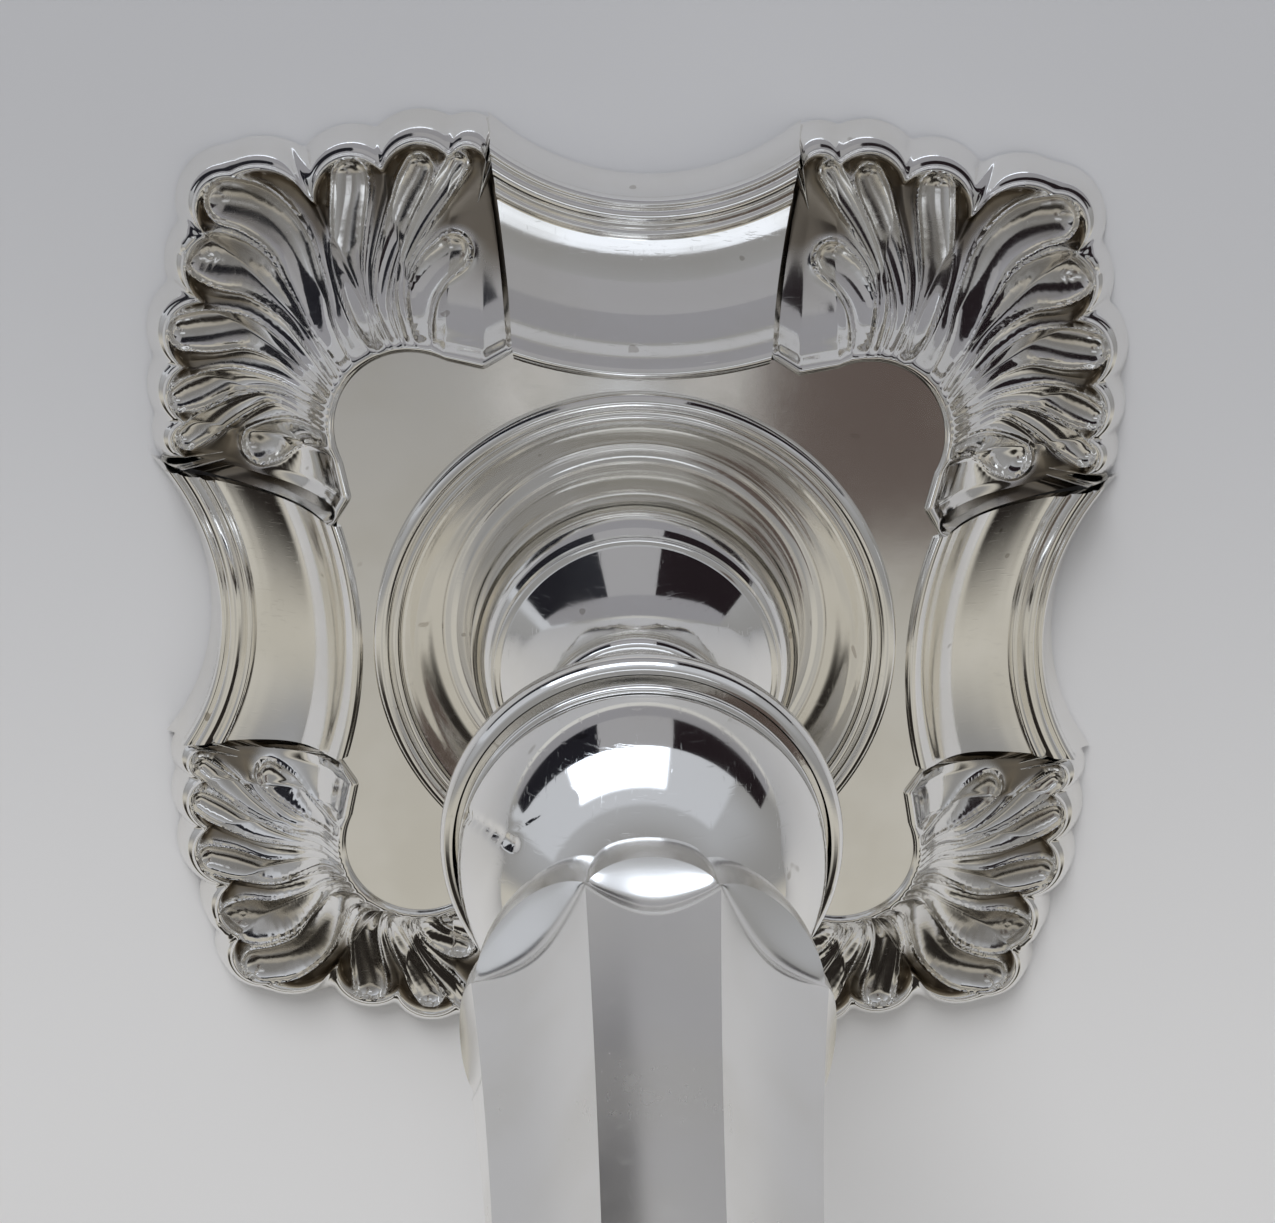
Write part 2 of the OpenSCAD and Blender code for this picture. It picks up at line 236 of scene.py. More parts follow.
class Nodes:
    def __init__(self, owner):
        owner.use_nodes = True
        self.tree = owner.node_tree
        self.tree.nodes.clear()

    def add(self, kind, settings=None, inputs=None, out=0):
        node = self.tree.nodes.new(kind)
        for key, value in (settings or {}).items():
            setattr(node, key, value)
        for key, value in (inputs or {}).items():
            if isinstance(value, Wire):
                self.tree.links.new(value.socket, node.inputs[key])
            else:
                node.inputs[key].default_value = value
        return Wire(self, node.outputs[out]) if len(node.outputs) else None

    # 0 to 1 as value goes from start to end
    def ease(self, value, start, end):
        settings = {"interpolation_type": "SMOOTHSTEP"}
        return self.add("ShaderNodeMapRange", settings, {0: value, 1: start, 2: end})

    def blend(self, mask, first, second):
        return self.add("ShaderNodeMix", {"data_type": "RGBA"}, {0: mask, 6: first, 7: second}, out=2)

    def noise(self, place, scale, detail=3, stretch=(1, 1, 1)):
        place = self.add("ShaderNodeMapping", None, {"Vector": place, "Scale": stretch})
        return self.add("ShaderNodeTexNoise", None, {"Vector": place, "Scale": scale, "Detail": detail})


def finishMaterial(name, nodes, **inputs):
    shader = nodes.add("ShaderNodeBsdfPrincipled", None, {k.replace("_", " "): v for k, v in inputs.items()})
    nodes.add("ShaderNodeOutputMaterial", None, {"Surface": shader})


silverLook = {
    "bright": (0.93, 0.92, 0.9, 1),
    "cloudy": (0.84, 0.82, 0.77, 1),
    # dark brown used for tarnish spots and for painted shade in the hollows
    "tarnishAndShade": (0.16, 0.115, 0.06, 1),
}


# polished silver: cloudy smears, rubbing scratches, slow waves, and tarnish with painted shade in the hollows
def silverFinish(name, rough=0.05, smear=0.06, scratch=0.12, wave=0.25, soilAndShade=1.0):
    material = bpy.data.materials.new(name)
    nodes = Nodes(material)
    place = nodes.add("ShaderNodeTexCoord", None, None, out=3)
    clouds = nodes.noise(place, 55, 5)
    patches = nodes.ease(clouds, 0.42, 0.68)
    grain = nodes.noise(place, 620, 4)
    rubbed = nodes.noise(place, 420, 2, (1, 7, 1))
    crossed = nodes.noise(place, 460, 2, (8, 1, 1.3))
    scratches = nodes.ease(rubbed, 0.62, 0.7) + nodes.ease(crossed, 0.64, 0.72)
    spots = nodes.ease(nodes.noise(place, 330, 1), 0.76, 0.79)
    hollow = nodes.add("ShaderNodeAttribute", {"attribute_name": "soilAndShade"}, None, out=2)
    # darkening of the hollows: real tarnish together with painted shade, stronger where the hollow is deep
    dirtAndShade = nodes.ease(hollow * (0.45 + clouds * 1.1), 0.25, 0.95) * soilAndShade
    colour = nodes.blend(patches * 0.55, silverLook["bright"], silverLook["cloudy"])
    colour = nodes.blend(dirtAndShade * 0.8, colour, silverLook["tarnishAndShade"])
    colour = nodes.blend(spots * 0.35 * soilAndShade, colour, silverLook["tarnishAndShade"])
    roughness = rough + patches * smear + scratches * scratch * 0.5 + dirtAndShade * 0.22 + grain * 0.02
    waves = nodes.noise(place, 30, 1)
    height = waves * wave + grain * 0.01 - scratches * scratch * 0.05
    bump = nodes.add("ShaderNodeBump", None, {"Strength": 0.16, "Distance": 0.0012, "Height": height})
    finishMaterial(name, nodes, Base_Color=colour, Metallic=1.0, Roughness=roughness, Normal=bump)
    return material


# drawn or filed steel with long marks along one way
def steelFinish(name, tone, stretch):
    material = bpy.data.materials.new(name)
    nodes = Nodes(material)
    place = nodes.add("ShaderNodeTexCoord", None, None, out=3)
    marks = nodes.noise(place, 700, 3, stretch)
    rust = nodes.ease(nodes.noise(place, 130, 5), 0.56, 0.7)
    colour = nodes.blend(marks, (tone * 0.7, tone * 0.7, tone * 0.72, 1), (tone, tone * 0.99, tone * 0.97, 1))
    colour = nodes.blend(rust * 0.4, colour, (0.17, 0.085, 0.04, 1))
    bump = nodes.add("ShaderNodeBump", None, {"Strength": 0.25, "Distance": 0.0003, "Height": marks})
    roughness = 0.28 + marks * 0.15 + rust * 0.3
    finishMaterial(name, nodes, Base_Color=colour, Metallic=0.95, Roughness=roughness, Normal=bump)
    return material


def pitchFinish(name):
    material = bpy.data.materials.new(name)
    nodes = Nodes(material)
    place = nodes.add("ShaderNodeTexCoord", None, None, out=3)
    lumps = nodes.noise(place, 160, 5)
    colour = nodes.blend(lumps, (0.012, 0.01, 0.009, 1), (0.06, 0.048, 0.04, 1))
    bump = nodes.add("ShaderNodeBump", None, {"Strength": 0.6, "Distance": 0.001, "Height": lumps})
    finishMaterial(name, nodes, Base_Color=colour, Roughness=0.25 + lumps * 0.4, Normal=bump)
    return material


def boardFinish(name):
    material = bpy.data.materials.new(name)
    nodes = Nodes(material)
    place = nodes.add("ShaderNodeTexCoord", None, None, out=3)
    grain = nodes.noise(place, 90, 6, (1, 14, 14))
    pores = nodes.ease(nodes.noise(place, 420, 2, (1, 9, 9)), 0.6, 0.7)
    colour = nodes.blend(grain, (0.2, 0.115, 0.06, 1), (0.44, 0.28, 0.155, 1))
    colour = nodes.blend(pores * 0.6, colour, (0.09, 0.05, 0.028, 1))
    bump = nodes.add("ShaderNodeBump", None, {"Strength": 0.35, "Distance": 0.0004, "Height": grain - pores})
    finishMaterial(name, nodes, Base_Color=colour, Roughness=0.6 + grain * 0.2, Normal=bump)
    return material


def baizeFinish(name):
    material = bpy.data.materials.new(name)
    nodes = Nodes(material)
    place = nodes.add("ShaderNodeTexCoord", None, None, out=3)
    fibres = nodes.noise(place, 1900, 3, (1, 2.2, 1)) * 0.5 + nodes.noise(place, 1900, 3, (2.2, 1, 1)) * 0.5
    worn = nodes.ease(nodes.noise(place, 45, 4), 0.5, 0.7)
    colour = nodes.blend(fibres, (0.012, 0.05, 0.028, 1), (0.06, 0.17, 0.1, 1))
    colour = nodes.blend(worn * 0.4, colour, (0.12, 0.16, 0.09, 1))
    bump = nodes.add("ShaderNodeBump", None, {"Strength": 0.7, "Distance": 0.0006, "Height": fibres})
    finishMaterial(name, nodes, Base_Color=colour, Roughness=0.9, Sheen_Weight=0.5, Normal=bump)
    return material


polished = silverFinish("polished_silver")
flatSilver = silverFinish("flat_silver", rough=0.11, smear=0.05, scratch=0.03, wave=0.5, soilAndShade=0.3)
chasedSilver = silverFinish("chased_silver", rough=0.06)
satinSilver = silverFinish("satin_silver", rough=0.2, smear=0.06, scratch=0.04, wave=0.6, soilAndShade=0.0)
print("finishes mixed")


# ---- base ----

corner = {
    "centre": 29.2,        # middle of the quarter round that the shell grows from
    "root": 9.93,          # radius of that quarter round
    "flare": 3.3,          # how far the foot spreads past the rim
    "columns": 420,
    "rows": 150,
    "scoop": 0.66,         # depth of a flute against its half width
    "ridge": 0.3,
    "thick": 1.6,
}
# lobes of the rim from the back seam to the right seam: centre and radius
lobes = [(23, 61.6, 2.5), (29.2, 59.2, 5.2), (38, 57, 5.3), (50, 53.5, 7), (54.2, 54.8, 4.6), (55.7, 47, 5),
         (58.6, 37.9, 5), (59.6, 30.1, 4.4), (61.3, 23.8, 2.4)]
# fall of the shell from its inner edge, 0, to its rim, 1
shellFall = [(0, 0), (0.012, 0.5), (0.03, 0.62), (0.05, 0.2), (0.1, -1.8), (0.17, -4.4), (0.27, -7), (0.4, -9.3),
             (0.56, -11.2), (0.72, -12.6), (0.86, -13.4), (0.96, -13.9), (1, -14.2)]
# each flute's middle line from the platform to its tip, with half its width
flutes = {
    "backCurl": [(27.3, 40.2, 0.8), (28.3, 42.5, 1.5), (28.3, 45.5, 2), (26.9, 48.3, 2.3),
                 (24.7, 50.3, 2.4)],
    "first": [(29.2, 40.3, 0.5), (31, 44.4, 0.7), (30.9, 48.8, 0.7), (28.9, 53.6, 1.1),
              (26.3, 58, 1.5), (24.3, 61.3, 1.5)],
    "second": [(30.6, 39.8, 0.5), (33.1, 43.4, 0.9), (33.4, 47.6, 1.3), (32.1, 53, 1.6),
               (30.2, 58, 2.1), (29.2, 60.4, 2)],
    "third": [(32.7, 39.2, 0.8), (35.9, 42.2, 1.2), (38, 47.5, 1.8), (38.4, 52.5, 2.3),
              (38.1, 57.4, 2.5), (38.1, 59.2, 2.4)],
    "corner": [(36.4, 36.5, 0.8), (40.7, 40.6, 1.6), (43.3, 45.6, 2.4), (46.2, 51.4, 2.8),
               (50.3, 54.8, 3.3), (54, 55.8, 3.1)],
    "fifth": [(38.1, 34.9, 0.6), (42.4, 38.5, 0.8), (45.8, 42.7, 1.6), (50.6, 46.8, 3),
              (55, 48.2, 3.7), (57.3, 48.4, 2.9)],
    "sixth": [(38.9, 33.1, 0.6), (43.7, 35.2, 1), (47.6, 37.5, 1.4), (52, 39.2, 2.1),
              (57, 39, 2.7), (60.4, 38.6, 2.4)],
    "seventh": [(39.1, 31.4, 0.4), (43.6, 31.9, 0.5), (48, 32.9, 0.8), (53.9, 32.7, 1.6),
                (59, 30.8, 2.2), (61.6, 29.6, 1.8)],
    "eighth": [(39.1, 29.7, 0.4), (43.4, 29.9, 0.4), (48.3, 31, 0.6), (53.1, 29.4, 1.3),
               (58, 26.3, 1.8), (61, 24.2, 1.6)],
    "rightCurl": [(39.1, 27.5, 1), (42, 27.4, 1.2), (45.7, 26.8, 1.9), (48.6, 25.2, 2.6),
                  (50.6, 24.2, 2.6)],
}


def ontoCorner(reach, angle):
    return np.stack([corner["centre"] + reach * np.cos(angle), corner["centre"] + reach * np.sin(angle)], -1)


# how far the lobes reach from the corner's centre, each grown by extra
def lobeReach(angle, extra):
    far = np.full(len(angle), 20.0)
    for x, y, radius in lobes:
        dx = x - corner["centre"]
        dy = y - corner["centre"]
        along = dx * np.cos(angle) + dy * np.sin(angle)
        inside = along ** 2 - dx * dx - dy * dy + (radius + extra) ** 2
        far = np.where(inside > 0, np.maximum(far, along + np.sqrt(np.maximum(inside, 0))), far)
    return far


# shell outlines at each column: inner edge, rim and foot
def shellOutlines(columns):
    part = np.linspace(0, 1, columns + 1)
    arc = ontoCorner(corner["root"], np.radians(116 - 142 * np.clip((part - 0.07) / 0.86, 0, 1)))
    tipBack = np.array([(16.3, 39.4), (20, 37.1), tuple(arc[0])])
    tipRight = np.array([tuple(arc[-1]), (37.1, 20), (39.4, 16.3)])
    inner = arc.copy()
    for axis in (0, 1):
        early = np.interp(part, (0, 0.035, 0.07), tipBack[:, axis])
        late = np.interp(part, (0.93, 0.965, 1), tipRight[:, axis])
        inner[:, axis] = np.where(part < 0.07, early, np.where(part > 0.93, late, arc[:, axis]))
    angle = np.radians(105.4 - 120.8 * part)
    spread = np.radians(np.linspace(-0.5, 0.5, 5))
    rim = ontoCorner(np.mean([lobeReach(angle + a, 0) for a in spread], 0), angle)
    foot = ontoCorner(np.mean([lobeReach(angle + a, corner["flare"]) for a in spread], 0), angle)
    foot[0] = (20.44, 66.8)
    foot[-1] = (66.8, 20.44)
    for end in (0, -1):
        rim[end] = inner[end] + (foot[end] - inner[end]) * 0.84
    return inner, rim, foot


# distance to the nearest flute's edge, below 0 inside it, and that flute's half width there
def fluteDistance(points):
    best = np.full(len(points), 99.0)
    width = np.ones(len(points))
    for stations in flutes.values():
        line = softLine(stations, 4)
        for (x, y, half), (nextX, nextY, nextHalf) in zip(line, line[1:]):
            stepX, stepY = nextX - x, nextY - y
            along = (points[:, 0] - x) * stepX + (points[:, 1] - y) * stepY
            along = np.clip(along / (stepX ** 2 + stepY ** 2), 0, 1)
            here = half + (nextHalf - half) * along
            away = np.hypot(points[:, 0] - x - stepX * along, points[:, 1] - y - stepY * along) - here
            closer = away < best
            best = np.where(closer, away, best)
            width = np.where(closer, here, width)
    return best, width


# rise and fall of the flutes and of the valleys between them, and the darkening that lies in them: tarnish together
# with painted shade
def chaseRelief(points, part, rimGap):
    away, width = fluteDistance(points)
    inside = np.clip(-away / width, 0, 1)
    scoop = -corner["scoop"] * width * (2 * inside - inside ** 2)
    valley = -(0.55 + 1.25 * part ** 2) * (1 - np.exp(-np.maximum(away, 0) / 0.9))
    ridge = corner["ridge"] * np.exp(-(away / 0.32) ** 2)
    relief = np.where(away < 0, scoop, valley) + ridge
    lip = 0.25 - ((rimGap - 0.5) / 0.6) ** 2 * 0.8
    relief = np.where(rimGap < 1.6, np.maximum(relief, lip), relief)
    fade = np.clip((part - 0.03) / 0.05, 0, 1)
    # tarnish together with painted shade, deeper in the valleys between flutes than in the scoops, none near the
    # platform
    soilAndShade = np.clip(-relief / 1.3, 0, 1) * fade * np.clip(part * 1.6, 0, 1) * np.where(away < 0.05, 0.6, 1.4)
    return relief * fade, soilAndShade


def makeShell(name):
    inner, rim, foot = shellOutlines(corner["columns"])
    top = corner["rows"]
    skirt = 14
    under = [(1, 0, 0.4, 1.8), (0, 1, 3.3, 1.6), (0.3, 0, 4.3, 0), (0.6, 0, 7.2, 0), (0.83, 0, 12.2, 0),
             (0.93, 0, 16, 0), (1, 0, 18.2, 0), (1, 0, baseTop, 0)]
    rows = top + skirt + len(under)
    piece, column, row = gridPiece(name, corner["columns"], rows)
    a, b, c = inner[column], rim[column], foot[column]
    outward = (c - a) / np.linalg.norm(c - a, axis=1)[:, None]
    fall = np.array(softLine(shellFall))
    part = np.clip(row / top, 0, 1)
    plan = a + (b - a) * part[:, None]
    rimGap = np.linalg.norm(b - a, axis=1) * (1 - part)
    relief, soilAndShade = chaseRelief(plan, part, rimGap)
    height = baseTop + np.interp(part, fall[:, 0], fall[:, 1]) + relief
    byColumn = np.zeros(corner["columns"] + 1)
    byColumn[column[row == top]] = height[row == top]
    rimHeight = byColumn[column]
    down = np.clip((row - top) / skirt, 0, 1)
    on = (row > top) & (row <= top + skirt)
    out = down ** 0.85
    plan = np.where(on[:, None], b + (c - b) * out[:, None], plan)
    drop = 1 - np.cos(down * math.pi / 2) * (1 - 0.25 * down)
    height = np.where(on, rimHeight + (0.4 - rimHeight) * drop, height)
    for i, (back, atRim, level, inset) in enumerate(under):
        now = row == top + skirt + 1 + i
        if i == 0:
            spot = c - outward * inset
        elif atRim:
            spot = b - outward * inset
        else:
            spot = b + (a - b) * back
        plan = np.where(now[:, None], spot, plan)
        height = np.where(now, level, height)
    writePoints(piece, np.column_stack([plan, height]))
    # the layer holds tarnish together with painted shade on the chased top; the skirt and underside get none
    layer = piece.data.attributes.new("soilAndShade", "FLOAT", "POINT")
    layer.data.foreach_set("value", np.where(row <= top, soilAndShade, 0).astype(np.float32))
    tidyMesh(piece, 55, fillEnds=True)
    return piece


shell = makeShell("chased_back_right")
shells = {
    "back_right": shell,
    "back_left": copyPiece(shell, "chased_back_left", -1, 1),
    "front_right": copyPiece(shell, "chased_front_right", 1, -1),
    "front_left": copyPiece(shell, "chased_front_left", -1, -1),
}
for end, piece in shells.items():
    mount(piece, "stick", "silver_chased", chasedSilver, "shell_" + end)
print("shell corners chased:", len(shell.data.polygons), "faces each")

# incurved side moulding: distance from the middle of the base, and drop below the platform
side = {
    "turnCentre": 92,
    "seam": ((16.3, 39.4), 0.151),     # a point on the seam and its lean
    "columns": 110,
    "face": [
        [(36.1, 0), (36.4, 0.45), (36.9, 0.75), (37.5, 0.45), (38.6, -1), (40.4, -4), (42.8, -7), (45.6, -9.2),
         (48.8, -10.7), (51, -11.35), (52.2, -11.6)],
        [(52.2, -11.6), (52.5, -11.1), (52.95, -10.8), (53.4, -11), (53.8, -11.7)],
        [(53.8, -11.7), (54.3, -11.3), (55, -11), (55.7, -11.2), (56.2, -11.9)],
        [(56.2, -11.9), (56.6, -11.6), (57, -11.7), (57.4, -12.3), (57.7, -14.2), (58.5, -16.6), (60, -19.2)],
        [(60, -19.2), (58.5, -19.2)],
        [(58.5, -19.2), (57.2, -15.4), (55.7, -13.1)],
        [(55.7, -13.1), (52.4, -13.1), (48.4, -12.3), (44.8, -10.7), (41.6, -8.2), (39, -5), (37.4, -2), (36.1, -1.4)],
        [(36.1, -1.4), (36.1, 0)],
    ],
}


def makeSide(name):
    section = np.array(joinStrokes(side["face"], 5))
    piece, column, row = gridPiece(name, side["columns"], len(section) - 1)
    radius = side["turnCentre"] - section[:, 0]
    (seamX, seamY), lean = side["seam"]
    half = np.full(len(section), seamX)
    for again in range(8):
        y = side["turnCentre"] - np.sqrt(radius ** 2 - half ** 2)
        half = seamX + (y - seamY) * lean
    swing = np.arcsin(half / radius)[row] * (2 * column / side["columns"] - 1)
    x = radius[row] * np.sin(swing)
    y = side["turnCentre"] - radius[row] * np.cos(swing)
    writePoints(piece, np.column_stack([x, y, baseTop + section[row, 1]]))
    tidyMesh(piece, 40, fillEnds=True)
    return piece


backSide = makeSide("swept_back")
for end, turn in (("left", 90), ("front", 180), ("right", 270)):
    mount(copyPiece(backSide, "swept_" + end, 1, 1, turn), "stick", "silver", polished, "side_" + end)
mount(backSide, "stick", "silver", polished, "side_back")
print("sides swept")

plate = {"thick": 1.4, "hole": 30.9, "rings": 14, "steps": 480}


# the flat plate, its edge following the shells and the sides
def makePlatform(name, s):
    section = [(s["hole"] + i, 0) for i in range(s["rings"] + 1)]
    section += [(s["hole"] + s["rings"], -1), (s["hole"], -1)]
    piece = spinPiece(name, section, s["steps"])
    points = readPoints(piece)
    angle = np.arctan2(points[:, 1], points[:, 0])
    inner = shellOutlines(200)[0]
    swing = np.linspace(-1, 1, 61) * math.asin(16.3 / 55.9)
    sideArc = np.column_stack([55.9 * np.sin(swing), 92 - 55.9 * np.cos(swing)])
    quarter = np.vstack([sideArc[30:-1], inner[:-1]])
    quarter = np.vstack([quarter, sideArc[30::-1][:, ::-1][:30]])
    bearing = np.arctan2(quarter[:, 0], quarter[:, 1])
    order = np.argsort(bearing)
    fold = np.abs(np.mod(angle, math.pi / 2))
    bearing, reach = bearing[order], np.hypot(quarter[:, 0], quarter[:, 1])[order]
    edge = np.interp(fold, bearing, reach)
    share = (np.hypot(points[:, 0], points[:, 1]) - s["hole"]) / s["rings"]
    out = s["hole"] + (edge - 0.02 - s["hole"]) * share
    level = baseTop + np.where(points[:, 2] < -0.5, -s["thick"], 0)
    writePoints(piece, np.column_stack([out * np.cos(angle), out * np.sin(angle), level]))
    tidyMesh(piece)
    return piece


mount(makePlatform("flat_plate", plate), "stick", "silver_plain", flatSilver, "platform")
print("platform cut")

ring = 34.6
hole = 2.75
well = [
    [(ring, 0), (ring + 0.1, 0.7), (ring - 0.3, 1.5), (ring - 1.1, 1.95), (ring - 1.9, 1.7), (ring - 2.4, 1.1)],
    [(ring - 2.4, 1.1), (ring - 2.8, 1.3), (ring - 3.2, 1.25), (ring - 3.6, 0.8), (ring - 3.75, 0.2)],
    [(ring - 3.75, 0.2), (ring - 4.1, 0.1)],
    [(ring - 4.1, 0.1), (ring - 4.5, -1.2), (ring - 5.3, -3.5), (ring - 6.5, -5.7), (ring - 7.7, -7.1),
     (ring - 8.3, -7.6)],
    [(ring - 8.3, -7.6), (ring - 8.6, -7.95), (ring - 9.2, -8), (25, -8), (24.1, -7.8), (23.2, -7.2), (22.4, -5.6),
     (21.9, -3), (21.8, 0), (21.65, 2.6), (21.2, 5), (20.4, 7.2), (19.4, 9), (18.6, 9.9)],
    [(18.6, 9.9), (hole, 10)], [(hole, 10), (hole, 8.6)], [(hole, 8.6), (18, 8.6)],
    [(18, 8.6), (19, 7.4), (19.9, 5.4), (20.4, 2.6), (20.6, 0), (20.7, -4), (21.4, -7), (23, -8.7), (24.6, -9.3)],
    [(24.6, -9.3), (ring - 8, -9.3)],
    [(ring - 8, -9.3), (ring - 6.9, -8), (ring - 5.6, -6), (ring - 4.5, -3), (ring - 4, -1.4), (ring - 3.72, 0)],
    [(ring - 3.72, 0), (ring, 0)],
]
wellSection = [(r, z + baseTop) for r, z in joinStrokes(well)][:-1]
mount(spinPiece("turned_well", wellSection, 240), "stick", "silver", polished, "well_dish")
print("well turned")


# ---- stem ----

def turnPiece(name, strokes, finish, slot, floor, steps=160, body="stick", soft=0):
    section = [(r, z + floor) for r, z in joinStrokes(strokes)]
    if math.dist(section[0], section[-1]) < 0.001:
        section = section[:-1]
    piece = spinPiece("turned_" + name, section, steps)
    if soft:
        softenEdges(piece, soft)
    mount(piece, body, slot, finish, name)
    return piece


spoolHigh = high("neck_spool") - low("neck_spool")
spool = [
    [(hole, 0), (18.3, 0)], [(18.3, 0), (18.1, 0.35), (17.4, 0.55)],
    [(17.4, 0.55), (15.9, 2.2), (14, 4.4), (12.2, 7), (10.8, 9.7), (9.9, 12.6), (9.65, 15), (9.9, 16.8), (10.7, 18.2)],
    [(10.7, 18.2), (10.7, spoolHigh)], [(10.7, spoolHigh), (hole, spoolHigh)], [(hole, spoolHigh), (hole, 0)],
]
turnPiece("neck_spool", spool, polished, "silver", low("neck_spool"))
beadHigh = high("neck_bead") - low("neck_bead")
bead = [
    [(hole, 0), (10.7, 0)],
    [(10.7, 0), (11.6, 0.35), (12.15, 1.1), (12.25, 1.7), (12.1, 2.4), (11.6, 3.05), (10.7, beadHigh)],
    [(10.7, beadHigh), (hole, beadHigh)], [(hole, beadHigh), (hole, 0)],
]
turnPiece("neck_bead", bead, polished, "silver", low("neck_bead"))
cupHigh = high("knop_cup") - low("knop_cup")
cup = [
    [(hole, 0), (10.2, 0)],
    [(10.2, 0), (9.7, 1.4), (9.5, 3.4), (10, 6.4), (11.7, 10.6), (14.4, 16), (17.2, 21.2), (18.9, 24.6), (19.4, 26)],
    [(19.4, 26), (19.5, 26.2)],
    [(19.5, 26.2), (20.2, 26.5), (20.65, 27.2), (20.7, 28.2), (20.45, 29.2), (19.9, 29.8), (19.3, cupHigh)],
    [(19.3, cupHigh), (19.1, cupHigh - 0.3)], [(19.1, cupHigh - 0.3), (19.1, cupHigh - 3.4)],
    [(19.1, cupHigh - 3.4), (hole, cupHigh - 3.4)], [(hole, cupHigh - 3.4), (hole, 0)],
]
turnPiece("knop_cup", cup, polished, "silver", low("knop_cup"), 200)

ballSize = {"radius": 18.6, "middle": 5, "neck": 7.4}
ballHigh = high("knop_ball") - low("knop_ball")


# the ball sits in the cup on a thin bright edge, and its neck lifts the column clear of it
def makeBall(s):
    radius = s["radius"]
    turns = [math.radians(a) for a in range(3, 66, 3)]
    dome = [(radius * math.cos(a), s["middle"] + radius * math.sin(a)) for a in turns]
    neck = [dome[-1], (7.6, radius * 0.93 + 5.2), (s["neck"], radius * 0.93 + 6.6), (s["neck"], ballHigh - 0.8)]
    strokes = [
        [(hole, 0), (radius, 0)], [(radius, 0), (radius, 4)],
        [(radius, 4), (radius + 0.06, 4.4), (radius - 0.1, 4.85), (radius - 0.42, 5)],
        [(radius - 0.42, 5), (radius - 0.3, 5.4)], [(radius - 0.3, 5.4)] + dome[1:], neck,
        [(s["neck"], ballHigh - 0.8), (s["neck"], ballHigh)], [(s["neck"], ballHigh), (hole, ballHigh)],
        [(hole, ballHigh), (hole, 0)],
    ]
    section = [(r, z + low("knop_ball")) for r, z in joinStrokes(strokes, 3)][:-1]
    piece = spinPiece("turned_ball", section, 360)
    return piece


# knocks in the ball: the way to each bend of the scar, with its depth and half width in mm
scars = [
    ([(-0.98, 0.28, 0.06), (-0.86, 0.36, 0.34), (-0.67, 0.38, 0.63)], 0.3, 0.55),
    ([(-0.67, 0.44, 0.6), (-0.59, 0.52, 0.62), (-0.52, 0.57, 0.64), (-0.38, 0.65, 0.66)], 0.07, 0.3),
]


def knockBall(piece, s):
    points = readPoints(piece)
    middle = np.array([0, 0, low("knop_ball") + s["middle"]])
    outward = points - middle
    size = np.linalg.norm(outward, axis=1)
    outward = outward / size[:, None]
    sink = np.zeros(len(points))
    for bends, depth, half in scars:
        for i, spot in enumerate(softLine(bends, 12)):
            spot = np.array(spot) / np.linalg.norm(spot)
            wobble = 1 + 0.45 * math.sin(i * 2.1) + 0.25 * math.sin(i * 5.3)
            away = np.linalg.norm(outward - spot, axis=1) * s["radius"]
            sink = np.maximum(sink, depth * wobble * np.exp(-(away / half) ** 2))
    sink = np.where((size > s["radius"] - 0.6) & (size < s["radius"] + 0.2), sink, 0)
    writePoints(piece, points - outward * sink[:, None])


ball = makeBall(ballSize)
knockBall(ball, ballSize)
mount(ball, "stick", "silver", silverFinish("ball_silver", rough=0.045, scratch=0.2, wave=0.12), "knop_ball")
print("knop turned")

column = {
    "lip": 13,             # the flutes' scooped ends, above the column's foot
    "steps": 320,
    "under": 12,           # rings below the lip, in the scoop and up the shaft
    "scoop": 12,
    "shaft": 70,
    "faceHalf": 20.5,      # half the angle of a flute on the four faces
    "betweenHalf": 24.5,
    "hollow": 0.05,
    "rim": 15.95,
    "collar": 9.2,
}


